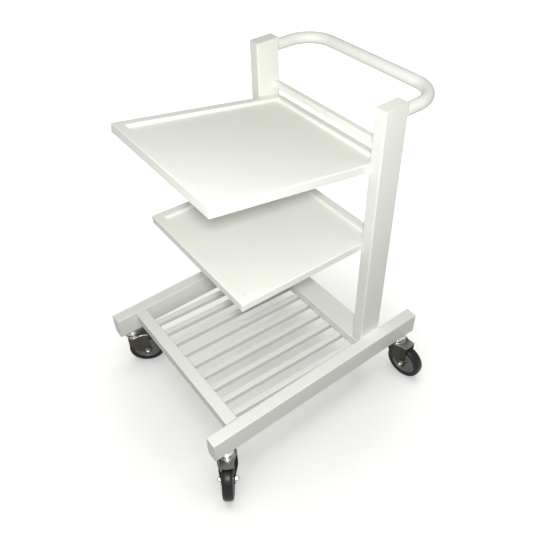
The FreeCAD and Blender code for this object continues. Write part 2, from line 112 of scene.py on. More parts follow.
def blend(tree: bpy.types.NodeTree, factor: Socket, first: Colour, second: Colour) -> Socket:
    """Blend two colours.

    Args:
        tree: The nodes of a material or of the world.
        factor: 0 for the first colour and 1 for the second.
        first: A linear colour.
        second: Another linear colour.

    Returns:
        The blended colour.
    """
    node = tree.nodes.new("ShaderNodeMix")
    node.data_type = "RGBA"
    factor_in, first_in, second_in = (node.inputs[index] for index in (0, 6, 7))
    first_in.default_value = (*first, 1.0)
    second_in.default_value = (*second, 1.0)
    tree.links.new(factor, factor_in)
    return node.outputs[2]


class NodeBench:
    """A new material's node tree, with short calls that add nodes and join them."""

    def __init__(self, name: str) -> None:
        """Start a material.

        Args:
            name: The material's name.
        """
        self.material = bpy.data.materials.new(name)
        self.material.use_nodes = True
        self.tree = self.material.node_tree
        self.shader = self.tree.nodes["Principled BSDF"]
        self.place = self.tree.nodes.new("ShaderNodeTexCoord").outputs["Object"]

    def set(self, **sockets: object) -> None:
        """Set plain values on the shader.

        Args:
            **sockets: Socket names, with underscores for spaces, and their values.
        """
        for name, value in sockets.items():
            self.shader.inputs[name.replace("_", " ")].default_value = value

    def noise(self, size: float, detail: float = 1.0) -> Socket:
        """Add a noise pattern.

        Args:
            size: The width of one patch, in metres.
            detail: The number of finer layers.

        Returns:
            The pattern's value, about 0 to 1.
        """
        texture = self.tree.nodes.new("ShaderNodeTexNoise")
        texture.inputs["Scale"].default_value = 1 / size
        texture.inputs["Detail"].default_value = detail
        self.tree.links.new(self.place, texture.inputs["Vector"])
        return texture.outputs["Fac"]

    def spread(self, value: Socket, low: float = 0.0, high: float = 1.0,
               start: float = 0.2, end: float = 0.8) -> Socket:
        """Map a pattern's middle range onto a range of values.

        Args:
            value: The pattern.
            low: The result at the range's start.
            high: The result at the range's end.
            start: The pattern's value where the range starts.
            end: The pattern's value where the range ends.

        Returns:
            The mapped value.
        """
        node = self.tree.nodes.new("ShaderNodeMapRange")
        for name, number in (("From Min", start), ("From Max", end), ("To Min", low), ("To Max", high)):
            node.inputs[name].default_value = number
        self.tree.links.new(value, node.inputs["Value"])
        return node.outputs["Result"]

    def facing_up(self) -> Socket:
        """Read how far the surface faces up.

        Returns:
            1 on top, 0 where it is upright and -1 beneath.
        """
        geometry = self.tree.nodes.new("ShaderNodeNewGeometry")
        parts = self.tree.nodes.new("ShaderNodeSeparateXYZ")
        self.tree.links.new(geometry.outputs["Normal"], parts.inputs[0])
        return parts.outputs["Z"]

    def bump(self, layers: Sequence[tuple[Socket, float]]) -> None:
        """Add surface relief to the shader.

        Args:
            layers: Patterns and the height of each, in metres.
        """
        normal = None
        for pattern, height in layers:
            node = self.tree.nodes.new("ShaderNodeBump")
            node.inputs["Distance"].default_value = height
            self.tree.links.new(pattern, node.inputs["Height"])
            if normal is not None:
                self.tree.links.new(normal, node.inputs["Normal"])
            normal = node.outputs["Normal"]
        self.tree.links.new(normal, self.shader.inputs["Normal"])

    def join(self, value: Socket, socket: str) -> None:
        """Lead a value into one of the shader's sockets."""
        self.tree.links.new(value, self.shader.inputs[socket])


@dataclass(frozen=True)
class PatchyFinish:
    """A finish with soft patches of a second colour, and of more and less gloss."""

    name: str
    slot: str
    colour: Colour
    cloud: Colour
    cloud_size: float
    gloss: tuple[float, float]
    gloss_size: float
    cloud_detail: float = 2.0
    ior: float = 1.5
    specular: float = 0.5

    def bench(self) -> NodeBench:
        """Start the material, with its colour and its gloss.

        Returns:
            The material's nodes.
        """
        bench = NodeBench(self.name)
        bench.set(IOR=self.ior, Specular_IOR_Level=self.specular)
        patches = bench.spread(bench.noise(self.cloud_size, self.cloud_detail))
        bench.join(blend(bench.tree, patches, self.colour, self.cloud), "Base Color")
        bench.join(bench.spread(bench.noise(self.gloss_size), *self.gloss), "Roughness")
        return bench

    def material(self) -> bpy.types.Material:
        """Make the finish."""
        return self.bench().material


@dataclass(frozen=True)
class PowderCoat(PatchyFinish):
    """Baked ivory powder coat: semi-gloss, with a fine orange peel."""

    name: str = "ivory_powder_coat"
    slot: str = "powder_coat"
    colour: Colour = (0.85, 0.857, 0.81)
    cloud: Colour = (0.82, 0.827, 0.778)
    cloud_size: float = 160 * MM
    cloud_detail: float = 1.0
    gloss: tuple[float, float] = (0.33, 0.38)
    gloss_size: float = 90 * MM
    specular: float = 0.3
    peel_size: float = 1.8 * MM
    peel_height: float = 0.002 * MM
    ripple_size: float = 60 * MM
    ripple_height: float = 0.02 * MM

    def material(self) -> bpy.types.Material:
        """Make the finish, with its peel over a slow ripple.

        Returns:
            The material.
        """
        bench = self.bench()
        peel = bench.noise(self.peel_size, 0.0)
        ripple = bench.noise(self.ripple_size, 0.0)
        bench.bump([(ripple, self.ripple_height), (peel, self.peel_height)])
        return bench.material


@dataclass(frozen=True)
class WheelPlastic(PatchyFinish):
    """Grey moulded plastic of the wheel centres."""

    name: str = "grey_moulded_plastic"
    slot: str = "wheel_centre"
    colour: Colour = (0.135, 0.147, 0.148)
    cloud: Colour = (0.115, 0.125, 0.127)
    cloud_size: float = 14 * MM
    gloss: tuple[float, float] = (0.26, 0.32)
    gloss_size: float = 8 * MM
    ior: float = 1.46


@dataclass(frozen=True)
class TyreRubber(PatchyFinish):
    """Black rubber with a faint dusty bloom."""

    name: str = "black_rubber"
    slot: str = "tyre"
    colour: Colour = (0.010, 0.011, 0.010)
    cloud: Colour = (0.016, 0.016, 0.015)
    cloud_size: float = 16 * MM
    gloss: tuple[float, float] = (0.3, 0.36)
    gloss_size: float = 9 * MM
    specular: float = 0.22


@dataclass(frozen=True)
class ZincPlate:
    """Bright zinc plate with faint patches in its gloss, a painted sheen that makes it a little brighter
    where it faces up, and painted shade at grazing angles.
    """

    name: str = "bright_zinc_plate"
    slot: str = "zinc"
    colour: Colour = (0.6, 0.61, 0.6)
    # Painted sheen: the lighter colour given to faces that look up.
    painted_sheen_colour: Colour = (0.64, 0.65, 0.64)
    painted_sheen_facing: tuple[float, float] = (0.1, 0.9)
    gloss: tuple[float, float] = (0.2, 0.26)
    gloss_size: float = 12 * MM
    # Painted shade: a grey specular tint darkens reflections at grazing angles, standing in for dark
    # surroundings.
    painted_edge_shade: float = 0.25

    def material(self) -> bpy.types.Material:
        """Make the finish.

        Returns:
            The material.
        """
        bench = NodeBench(self.name)
        # Painted shade along the rims, from the grey specular tint.
        bench.set(Metallic=1.0, Specular_Tint=(self.painted_edge_shade, self.painted_edge_shade, self.painted_edge_shade, 1.0))
        # Painted sheen: blend towards the lighter colour where the face looks up.
        facing = bench.spread(bench.facing_up(), 0.0, 1.0, *self.painted_sheen_facing)
        bench.join(blend(bench.tree, facing, self.colour, self.painted_sheen_colour), "Base Color")
        bench.join(bench.spread(bench.noise(self.gloss_size), *self.gloss), "Roughness")
        return bench.material


@dataclass(frozen=True)
class ForkSteel(ZincPlate):
    """Pressed fork steel under a darker, brownish plate, with a painted reflection that makes faces looking
    up much lighter than the sides.
    """

    name: str = "dark_plated_steel"
    slot: str = "fork_steel"
    colour: Colour = (0.078, 0.072, 0.06)
    # Painted reflection: tops far lighter than the dark sides, standing in for brighter surroundings above.
    painted_sheen_colour: Colour = (0.25, 0.265, 0.25)
    gloss: tuple[float, float] = (0.28, 0.34)


@dataclass(frozen=True)
class GrooveShadeTrack(ZincPlate):
    """The near-black steel of the ball track, painted shade that darkens the grooves between the castor's
    rings.
    """

    name: str = "groove_shade_track"
    slot: str = "fork_steel"
    # Near-black: painted shade of the grooves between the rings.
    colour: Colour = (0.02, 0.02, 0.018)
    painted_sheen_colour: Colour = (0.03, 0.03, 0.027)
    gloss: tuple[float, float] = (0.3, 0.4)


Finish = PatchyFinish | ZincPlate


class Workshop:
    """Makes each finish once, and turns a bmesh into a finished piece."""

    def __init__(self) -> None:
        """Start with no finishes made."""
        self.made: dict[str, bpy.types.Material] = {}

    def material(self, finish: Finish) -> bpy.types.Material:
        """Fetch a finish's material, making it on first use.

        Args:
            finish: The finish.

        Returns:
            Its material.
        """
        if finish.name not in self.made:
            self.made[finish.name] = finish.material()
        return self.made[finish.name]

    def piece(self, name: str, bm: BMesh, finish: Finish, body: str, stands_for: Sequence[str] = (),
              crease: float = 40.0) -> bpy.types.Object:
        """Close a bmesh into a piece that rides on a body.

        Args:
            name: The piece's name.
            bm: Its shape, in the trolley's frame. It is freed.
            finish: What it is finished in.
            body: The body that it moves with.
            stands_for: The solids that it takes the place of.
            crease: The angle in degrees above which an edge stays sharp.

        Returns:
            The piece.
        """
        bmesh.ops.remove_doubles(bm, verts=bm.verts, dist=SAME_SPOT)
        bmesh.ops.recalc_face_normals(bm, faces=bm.faces)
        mesh = bpy.data.meshes.new(name)
        bm.to_mesh(mesh)
        bm.free()
        mesh.materials.append(self.material(finish))
        mesh.shade_smooth()
        mesh.set_sharp_from_angle(angle=math.radians(crease))
        piece = bpy.data.objects.new(name, mesh)
        bpy.context.scene.collection.objects.link(piece)
        flatten = piece.modifiers.new("FlatFaces", "WEIGHTED_NORMAL")
        flatten.keep_sharp = True
        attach(piece, body)
        if stands_for:
            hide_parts(*stands_for)
        log.info("%s: %d faces, rides on %s", name, len(mesh.polygons), body)
        return piece

    def refinish(self, nodes: Iterable[str], finish: Finish) -> None:
        """Give solids that stay in view their finish.

        Args:
            nodes: The solids' names.
            finish: What they are finished in.
        """
        for node in nodes:
            slots = frame["nodes"][node].data.materials
            slots.clear()
            slots.append(self.material(finish))
            log.info("%s: refinished in %s", node, finish.name)


# Shaping


def ends_of(edge: BMEdge) -> tuple[Vector, Vector]:
    """The two end points of an edge."""
    return edge.verts[0].co, edge.verts[1].co


def runs_along(edge: BMEdge, axis: Axis) -> bool:
    """Whether an edge is parallel to an axis."""
    start, end = ends_of(edge)
    return abs((end - start).normalized().dot(axis.vector)) > PARALLEL


def lies_at(edge: BMEdge, axis: Axis, place: float) -> bool:
    """Whether both ends of an edge lie at one place along an axis."""
    return all(abs(point[axis.value] - place) < SAME_SPOT for point in ends_of(edge))


def verts_in(made: Iterable[object]) -> list[BMVert]:
    """The vertices among what an operator made."""
    return [item for item in made if isinstance(item, BMVert)]


def edges_in(made: Iterable[object]) -> list[BMEdge]:
    """The edges among what an operator made."""
    return [item for item in made if isinstance(item, BMEdge)]


def smooth(share: float) -> float:
    """Ease a share from nought to one.

    Args:
        share: The share, which is first cut to that range.

    Returns:
        The eased share.
    """
    share = min(max(share, 0.0), 1.0)
    return share * share * (3 - 2 * share)


def round_off(bm: BMesh, test: Callable[[BMEdge], bool], radius: float, segments: int = 4) -> None:
    """Round the edges that pass a test.

    Args:
        bm: The shape.
        test: Says whether an edge is one to round.
        radius: How far the rounding reaches from the edge.
        segments: How many facets it has.
    """
    chosen = [edge for edge in bm.edges if test(edge)]
    bmesh.ops.bevel(bm, geom=chosen, offset=radius, offset_type="OFFSET", segments=segments,
                    profile=0.5, affect="EDGES", material=-1)


def turn_profile(bm: BMesh, points: Profile, axis: Axis, steps: int = 96) -> None:
    """Turn a closed profile all the way round an axis through the origin.

    Args:
        bm: Receives the shape.
        points: Corners of the profile, as (along the axis, radius).
        axis: The axis.
        steps: How many facets go round.
    """
    across = Axis.X if axis is not Axis.X else Axis.Y
    corners = [bm.verts.new(axis.vector * along + across.vector * radius) for along, radius in points]
    sides = [bm.edges.new(pair) for pair in zip(corners, corners[1:] + corners[:1])]
    bmesh.ops.spin(bm, geom=corners + sides, cent=(0, 0, 0), axis=axis.vector, dvec=(0, 0, 0),
                   angle=math.tau, steps=steps, use_merge=True, use_duplicate=False)
    bmesh.ops.remove_doubles(bm, verts=bm.verts, dist=SAME_SPOT)
    bmesh.ops.recalc_face_normals(bm, faces=bm.faces)


def both_sides(one_side: Profile, middle: Profile = ()) -> Profile:
    """A wheel's whole profile, from one side of it and what lies between the two sides."""
    return [*one_side, *middle, *((-along, radius) for along, radius in reversed(one_side))]


def ring_edges(axis: Axis, along: float, radius: float) -> Callable[[BMEdge], bool]:
    """A test for the edges of one circle on a turned shape.

    Args:
        axis: The shape's axis, through the origin.
        along: The circle's distance along the axis, either way from the origin.
        radius: The circle's radius.

    Returns:
        The test.
    """
    def test(edge: BMEdge) -> bool:
        """Check that both ends of an edge lie on the circle.

        Args:
            edge: The edge.

        Returns:
            Whether they do.
        """
        for point in ends_of(edge):
            height = point.dot(axis.vector)
            reach = (point - axis.vector * height).length
            if abs(abs(height) - along) > 10 * SAME_SPOT or abs(reach - radius) > 10 * SAME_SPOT:
                return False
        return True

    return test


def box_tube(bm: BMesh, size: Vector, axis: Axis, corner: float, wall: float) -> None:
    """Make a hollow box tube with rounded long edges about the origin.

    Args:
        bm: Receives the tube.
        size: Its outside size.
        axis: The axis that it runs along.
        corner: The outside corner radius.
        wall: The wall thickness.
    """
    bmesh.ops.create_cube(bm, size=1.0)
    bmesh.ops.scale(bm, vec=size, verts=bm.verts)
    caps = [face for face in bm.faces if abs(face.normal.dot(axis.vector)) > FACING]
    bmesh.ops.delete(bm, geom=caps, context="FACES_ONLY")
    round_off(bm, lambda edge: runs_along(edge, axis), corner, segments=5)
    bmesh.ops.solidify(bm, geom=bm.faces[:], thickness=wall)


def plate(bm: BMesh, size: Vector, axis: Axis, corner: float, lip: float) -> None:
    """Make a thin closed plate with rounded corners about the origin.

    Args:
        bm: Receives the plate.
        size: Its size.
        axis: The axis across its thickness.
        corner: The corner radius of its outline.
        lip: The rounding of its two rims.
    """
    bmesh.ops.create_cube(bm, size=1.0)
    bmesh.ops.scale(bm, vec=size, verts=bm.verts)
    round_off(bm, lambda edge: runs_along(edge, axis), corner, segments=5)
    rim = size[axis.value] / 2
    round_off(bm, lambda edge: lies_at(edge, axis, rim) or lies_at(edge, axis, -rim), lip, segments=2)


def centre_on(bm: BMesh, node: str) -> None:
    """Move a shape from the origin to the middle of a solid's box."""
    low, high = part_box(node)
    bmesh.ops.translate(bm, vec=(low + high) / 2, verts=bm.verts)


def add_shape(bm: BMesh, part: BMesh) -> None:
    """Add one shape to another.

    Args:
        bm: Receives the shape.
        part: The shape to add. It is freed.
    """
    carrier = bpy.data.meshes.new("part")
    part.to_mesh(carrier)
    part.free()
    bm.from_mesh(carrier)
    bpy.data.meshes.remove(carrier)


def weld_bead(whole: BMesh, path: Sequence[Vector], radius: float, pitch: float) -> None:
    """Lay a rippled weld bead along straight runs.

    Args:
        whole: Receives the bead.
        path: The corners that it runs through.
        radius: Half its width.
        pitch: The distance between ripples.
    """
    end_share, dip_share = 0.45, 0.82
    for start, end in zip(path, path[1:]):
        bm = bmesh.new()
        run = end - start
        steps = 2 * max(2, round(run.length / pitch))
        turn = run.to_track_quat("Z", "Y").to_matrix().to_4x4()
        made = bmesh.ops.create_circle(bm, cap_ends=True, segments=8, radius=radius * end_share,
                                       matrix=Matrix.Translation(start) @ turn)
        loop = list({edge for vert in made["verts"] for edge in vert.link_edges})
        for step in range(1, steps + 1):
            grown = bmesh.ops.extrude_edge_only(bm, edges=loop)["geom"]
            verts, loop = verts_in(grown), edges_in(grown)
            centre = sum((vert.co for vert in verts), Vector()) / len(verts)
            reach = radius * (end_share if step == steps else (1.0 if step % 2 else dip_share))
            present = (verts[0].co - centre).length
            bmesh.ops.translate(bm, vec=run / steps, verts=verts)
            bmesh.ops.scale(bm, vec=Vector((1, 1, 1)) * reach / present, verts=verts,
                            space=Matrix.Translation(-(centre + run / steps)))
        bmesh.ops.edgeloop_fill(bm, edges=loop)
        add_shape(whole, bm)


# Sub-assemblies


@dataclass
class TubeWork:
    """The box tubes of the base, the rack and the uprights."""

    shop: Workshop
    corner: float = 3.5 * MM
    wall: float = 1.6 * MM
    slat_corner: float = 2.0 * MM
    slat_wall: float = 1.2 * MM
    slat_count: int = 9
    tie_corner: float = 2.5 * MM
    plate_lip: float = 0.72 * MM

    def rack_slope(self) -> float:
        """Work out how the slats fall towards the rear.

        Returns:
            The angle, in radians.
        """
        bar_low, bar_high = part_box("front_crossbar")
        member_low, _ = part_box("rear_crossmember")
        run = member_low.y - (bar_low.y + bar_high.y) / 2
        return math.atan2(bar_low.z - member_low.z, run)

    def tube(self, node: str, axis: Axis) -> None:
        """Make a level or upright tube in the place of its solid.

        Args:
            node: The solid's name.
            axis: The axis that the tube runs along.
        """
        low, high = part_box(node)
        slim = node == "tie_bar"
        bm = bmesh.new()
        box_tube(bm, high - low, axis, self.tie_corner if slim else self.corner,
                 self.slat_wall if slim else self.wall)
        centre_on(bm, node)
        self.shop.piece(f"{node}_tube", bm, PowderCoat(), FRAME_BODY, [node])

    def end_plate(self, node: str, axis: Axis) -> None:
        """Make the plate that closes a tube's end.

        Args:
            node: The solid's name.
            axis: The axis that the tube runs along.
        """
        low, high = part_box(node)
        bm = bmesh.new()
        plate(bm, high - low, axis, self.corner, self.plate_lip)
        centre_on(bm, node)
        self.shop.piece(f"{node}_cover", bm, PowderCoat(), FRAME_BODY, [node])

    def slat(self, node: str) -> None:
        """Make one sloping slat in the place of its solid.

        Args:
            node: The solid's name.
        """
        low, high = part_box(node)
        slope = self.rack_slope()
        width = high.x - low.x
        length = (high.y - low.y - width * math.sin(slope)) / math.cos(slope)
        bm = bmesh.new()
        box_tube(bm, Vector((width, length, width)), Axis.Y, self.slat_corner, self.slat_wall)
        bmesh.ops.rotate(bm, cent=(0, 0, 0), matrix=Matrix.Rotation(-slope, 3, "X"), verts=bm.verts)
        centre_on(bm, node)
        self.shop.piece(f"{node}_tube", bm, PowderCoat(), FRAME_BODY, [node])

    def build(self) -> None:
        """Make every tube and end plate."""
        for side in Side:
            self.tube(f"rail_{side.word}", Axis.Y)
            self.tube(f"post_{side.word}", Axis.Z)
            self.end_plate(f"post_plate_{side.word}", Axis.Z)
            for end in ("front", "rear"):
                self.end_plate(f"rail_plate_{end}_{side.word}", Axis.Y)
        for node in ("front_crossbar", "rear_crossmember", "tie_bar"):
            self.tube(node, Axis.X)
        for index in range(self.slat_count):
            self.slat(f"slat_{index + 1}")


@dataclass
class PushHandle:
    """The round tube behind the posts, bent to a level U."""

    shop: Workshop
    node: str = "push_handle"
    tube: float = 34 * MM
    wall: float = 1.6 * MM
    bend: float = 86 * MM
    facets: int = 40
    bend_steps: int = 28

    def build(self) -> None:
        """Sweep the tube: two legs, two bends and the grip."""
        low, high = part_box(self.node)
        radius = self.tube / 2
        leg_x = high.x - radius
        height = (low.z + high.z) / 2
        bend_x, bend_y = leg_x - self.bend, high.y - radius - self.bend
        leg = Vector((0, bend_y - low.y, 0))
        bm = bmesh.new()
        facing = Matrix.Translation((-leg_x, low.y, height)) @ Matrix.Rotation(-QUARTER_TURN, 4, "X")
        bmesh.ops.create_circle(bm, segments=self.facets, radius=radius, matrix=facing)
        rim = self.push(bm, bm.edges[:], leg)
        rim = self.turn(bm, rim, Vector((-bend_x, bend_y, height)))
        rim = self.push(bm, rim, Vector((2 * bend_x, 0, 0)))
        rim = self.turn(bm, rim, Vector((bend_x, bend_y, height)))
        self.push(bm, rim, -leg)
        bmesh.ops.recalc_face_normals(bm, faces=bm.faces)
        bmesh.ops.solidify(bm, geom=bm.faces[:], thickness=self.wall)
        self.shop.piece(f"{self.node}_tube", bm, PowderCoat(), FRAME_BODY, [self.node])

    @staticmethod
    def push(bm: BMesh, rim: list[BMEdge], step: Vector) -> list[BMEdge]:
        """Draw the tube's rim straight on.

        Args:
            bm: The tube so far.
            rim: The edges of its open end.
            step: How far and which way it goes.

        Returns:
            The edges of the new open end.
        """
        grown = bmesh.ops.extrude_edge_only(bm, edges=rim)["geom"]
        bmesh.ops.translate(bm, vec=step, verts=verts_in(grown))
        return edges_in(grown)

    def turn(self, bm: BMesh, rim: list[BMEdge], centre: Vector) -> list[BMEdge]:
        """Draw the tube's rim through a quarter bend.

        Args:
            bm: The tube so far.
            rim: The edges of its open end.
            centre: The point that the bend goes round.

        Returns:
            The edges of the new open end.
        """
        corners = list({vert for edge in rim for vert in edge.verts})
        made = bmesh.ops.spin(bm, geom=corners + rim, cent=centre, axis=(0, 0, 1), dvec=(0, 0, 0),
                              angle=-QUARTER_TURN, steps=self.bend_steps, use_duplicate=False)
        return edges_in(made["geom_last"])


@dataclass
class Shelf:
    """A folded shelf frame with a sheet tray welded inside it."""

    shop: Workshop
    name: str
    drop: float
    depth: float
    edge: float
    tilt: float
    setback: float
    rim: float = 25 * MM
    sheet: float = 1.5 * MM
    corner: float = 3 * MM
    inner_corner: float = 1.2 * MM
    fold_gap: float = 0.02 * MM
    recess: float = 10 * MM
    tray_sheet: float = 1.2 * MM
    tray_corner: float = 12 * MM
    squeeze: float = 0.25
    floor_bend: float = 4 * MM
    lip: float = 0.5 * MM
    width: float = field(init=False)

    def __post_init__(self) -> None:
        """Read the shelf's width from the gap between the posts."""
        self.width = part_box("post_right")[0].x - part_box("post_left")[1].x

    def seat(self, bm: BMesh) -> None:
        """Move a shape from the shelf's own frame to its place between the posts.

        Args:
            bm: The shape.
        """
        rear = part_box("post_left")[1].y - self.setback
        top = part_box("post_plate_left")[1].z - self.drop
        place = Matrix.Translation((0, rear, top)) @ Matrix.Rotation(-math.radians(self.tilt), 4, "X")
        bmesh.ops.transform(bm, matrix=place, verts=bm.verts)

    def frame_ring(self) -> BMesh:
        """Make the channel frame: a ring, hollow from below, with rounded outer edges.

        Returns:
            The ring, in the shelf's own frame.
        """
        bm = bmesh.new()
        bmesh.ops.create_cube(bm, size=1.0)
        bmesh.ops.scale(bm, vec=(self.width, self.depth, self.edge), verts=bm.verts)
        bmesh.ops.translate(bm, vec=(0, -self.depth / 2, -self.edge / 2), verts=bm.verts)
        loops = []
        for normal in (1, -1):
            face = next(item for item in bm.faces if item.normal.z * normal > FACING)
            bmesh.ops.inset_region(bm, faces=[face], thickness=self.rim, use_even_offset=True)
            loops += list(face.edges)
            bmesh.ops.delete(bm, geom=[face], context="FACES_ONLY")
        bmesh.ops.bridge_loops(bm, edges=loops)
        under = [face for face in bm.faces if face.normal.z < -FACING]
        bmesh.ops.inset_region(bm, faces=under, thickness=self.sheet, use_even_offset=True)
        bmesh.ops.inset_region(bm, faces=under, thickness=self.fold_gap, use_even_offset=True,
                               depth=-(self.edge - self.sheet))

        def outer_edge(edge: BMEdge) -> bool:
            """Check for an outside corner, or an edge that runs round the top outside.

            Args:
                edge: The edge.

            Returns:
                Whether it is one.
            """
            outside = any(
                lies_at(edge, axis, place)
                for axis, place in ((Axis.X, self.width / 2), (Axis.X, -self.width / 2),
                                    (Axis.Y, 0.0), (Axis.Y, -self.depth))
            )
            return outside and (runs_along(edge, Axis.Z) or lies_at(edge, Axis.Z, 0.0))

        def inner_top_edge(edge: BMEdge) -> bool:
            """Check for an edge round the top of the ring's opening.

            Args:
                edge: The edge.

            Returns:
                Whether it is one.
            """
            hole = Vector((self.width / 2 - self.rim, self.depth / 2 - self.rim))
            return lies_at(edge, Axis.Z, 0.0) and all(
                abs(point.x) < hole.x + SAME_SPOT and abs(point.y + self.depth / 2) < hole.y + SAME_SPOT
                for point in ends_of(edge)
            )

        round_off(bm, outer_edge, self.corner, segments=5)
        round_off(bm, inner_top_edge, self.inner_corner, segments=3)
        return bm

    def tray_pan(self) -> BMesh:
        """Make the tray: a sheet floor with a bend all round up to the rim.

        Returns:
            The tray, in the shelf's own frame.
        """
        bm = bmesh.new()
        inset = 2 * (self.rim + self.tray_sheet)
        half = Vector(((self.width - inset) / 2, (self.depth - inset) / 2))
        middle_y = -self.depth / 2
        floor = bmesh.ops.create_grid(bm, x_segments=1, y_segments=1, size=0.5)
        bmesh.ops.scale(bm, vec=(2 * half.x, 2 * half.y, 1), verts=floor["verts"])
        bmesh.ops.translate(bm, vec=(0, middle_y, -self.recess), verts=floor["verts"])
        bmesh.ops.bevel(bm, geom=floor["verts"], offset=self.tray_corner, offset_type="OFFSET",
                        segments=8, profile=0.5, affect="VERTICES", material=-1)
        rim = [edge for edge in bm.edges if edge.is_boundary]
        top = verts_in(bmesh.ops.extrude_edge_only(bm, edges=rim)["geom"])
        bmesh.ops.translate(bm, vec=(0, 0, self.recess - self.lip), verts=top)
        for vert in top:
            inside = half - Vector((abs(vert.co.x), abs(vert.co.y - middle_y)))
            if max(inside) < self.tray_corner + SAME_SPOT:
                corner = half - inside * self.squeeze
                vert.co.x = math.copysign(corner.x, vert.co.x)
                vert.co.y = math.copysign(corner.y, vert.co.y - middle_y) + middle_y
        bmesh.ops.recalc_face_normals(bm, faces=bm.faces)
        if sum(face.normal.z * face.calc_area() for face in bm.faces) < 0:
            bmesh.ops.reverse_faces(bm, faces=bm.faces)
        round_off(bm, lambda edge: lies_at(edge, Axis.Z, -self.recess) and not edge.is_boundary,
                  self.floor_bend, segments=5)
        bmesh.ops.solidify(bm, geom=bm.faces[:], thickness=self.tray_sheet)
        return bm

    def build(self) -> None:
        """Make the frame and its tray."""
        for shape, piece, node, crease in ((self.frame_ring(), "channel", "frame", 40.0),
                                           (self.tray_pan(), "pan", "tray", 50.0)):
            self.seat(shape)
            self.shop.piece(f"{self.name}_{piece}", shape, PowderCoat(), FRAME_BODY,
                            [f"{self.name}_{node}"], crease)


@dataclass
class Welds:
    """The painted weld beads where tubes, shelves and handle meet."""

    shop: Workshop
    radius: float = 2.0 * MM
    pitch: float = 3.2 * MM
    slat_radius: float = 1.5 * MM
    member_radius: float = 1.6 * MM
    foot_radius: float = 2.2 * MM
    slat_ends: tuple[float, float] = (2 * MM, 4 * MM)
    slat_sinks: tuple[float, float] = (0.8 * MM, 1.6 * MM)
    shelf_ends: tuple[float, float] = (2 * MM, 4 * MM)
    collar_reach: float = 2.4 * MM
    collar_sink: float = 0.6 * MM
    collar_ripples: int = 32
    ripple_share: float = 0.14

    def bead(self, bm: BMesh, *corners: Place, radius: float = 0.0) -> None:
        """Lay one bead.

        Args:
            bm: Receives the bead.
            *corners: The corners that it runs through.
            radius: Half its width, where it isn't the usual one.
        """
        weld_bead(bm, [Vector(corner) for corner in corners], radius or self.radius, self.pitch)

    def finish(self, name: str, bm: BMesh) -> None:
        """Paint a set of beads."""
        self.shop.piece(f"{name}_welds", bm, PowderCoat(), FRAME_BODY, crease=80.0)

    def base(self) -> None:
        """Beads round the ends of both cross tubes and under the slats."""
        bm = bmesh.new()
        for node in ("front_crossbar", "rear_crossmember"):
            low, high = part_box(node)
            for x in (low.x, high.x):
                self.bead(bm, (x, low.y, high.z), (x, low.y, low.z))
                self.bead(bm, (x, high.y, low.z), (x, high.y, high.z))
        member_low, member_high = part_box("rear_crossmember")
        for x in (member_low.x, member_high.x):
            self.bead(bm, (x, member_low.y, member_high.z), (x, member_high.y, member_high.z),
                      radius=self.member_radius)
        bar_low, bar_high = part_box("front_crossbar")
        (start, stop), (front_sink, rear_sink) = self.slat_ends, self.slat_sinks
        for index in range(TubeWork.slat_count):
            low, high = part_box(f"slat_{index + 1}")
            for x in (low.x, high.x):
                under_bar = (x, low.y + start, bar_low.z), (x, bar_high.y, bar_low.z - front_sink)
                under_member = (x, member_low.y, member_low.z), (x, high.y - stop, member_low.z - rear_sink)
                self.bead(bm, *under_bar, radius=self.slat_radius)
                self.bead(bm, *under_member, radius=self.slat_radius)
        self.finish("base", bm)

    def uprights(self) -> None:
        """Beads at the posts' feet and at the tie bar's ends."""
        bm = bmesh.new()
        rail_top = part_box("rail_left")[1].z
        tie_low, tie_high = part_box("tie_bar")
        for side in Side:
            low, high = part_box(f"post_{side.word}")
            inner, outer = (low.x, high.x) if side is Side.RIGHT else (high.x, low.x)
            foot = low.z
            self.bead(bm, (outer, low.y, foot), (inner, low.y, foot), (inner, high.y, foot),
                      (outer, high.y, foot))
            for y in (low.y, high.y):
                self.bead(bm, (outer, y, foot), (outer, y, rail_top))
            self.bead(bm, (outer, low.y, rail_top), (outer, high.y, rail_top), radius=self.foot_radius)
            self.bead(bm, (inner, tie_low.y, tie_high.z), (inner, tie_low.y, tie_low.z),
                      (inner, tie_high.y, tie_low.z))
            self.bead(bm, (inner, tie_low.y, tie_high.z), (inner, tie_high.y, tie_high.z))
        self.finish("upright", bm)

    def handle(self) -> None:
        """A ring of weld where each leg of the handle meets its post."""
        bm = bmesh.new()
        low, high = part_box("push_handle")
        radius = (high.z - low.z) / 2
        root, reach = radius - self.collar_sink, self.collar_reach
        profile = [(0.0, root), (0.0, radius + reach), (0.6 * MM, radius + 2.2 * MM),
                   (1.8 * MM, radius + 1.0 * MM), (reach, root)]
        for side in Side:
            collar = bmesh.new()
            turn_profile(collar, profile, Axis.Y, steps=64)
            for vert in collar.verts:
                angle = math.atan2(vert.co.z, vert.co.x)
                vert.co.y *= 1 + self.ripple_share * math.sin(angle * self.collar_ripples)
            place = Vector((side.value * (high.x - radius), low.y, (low.z + high.z) / 2))
            bmesh.ops.translate(collar, vec=place, verts=collar.verts)
            add_shape(bm, collar)
        self.finish("handle", bm)

    def shelf(self, shelf: Shelf) -> None:
        """Beads along a shelf's sides where it passes between the posts.

        Args:
            shelf: The shelf.
        """
        bm = bmesh.new()
        post_low, post_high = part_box("post_left")
        front, rear = self.shelf_ends
        for side in Side:
            x = side.value * shelf.width / 2
            for z in (0.0, -shelf.edge):
                self.bead(bm, (x, post_low.y - post_high.y + front, z), (x, -rear, z))
        shelf.seat(bm)
        self.finish(shelf.name, bm)

    def build(self, shelves: Sequence[Shelf]) -> None:
        """Lay every bead.

        Args:
            shelves: The shelves to weld between the posts.
        """
        self.base()
        self.uprights()
        self.handle()
        for shelf in shelves:
            self.shelf(shelf)


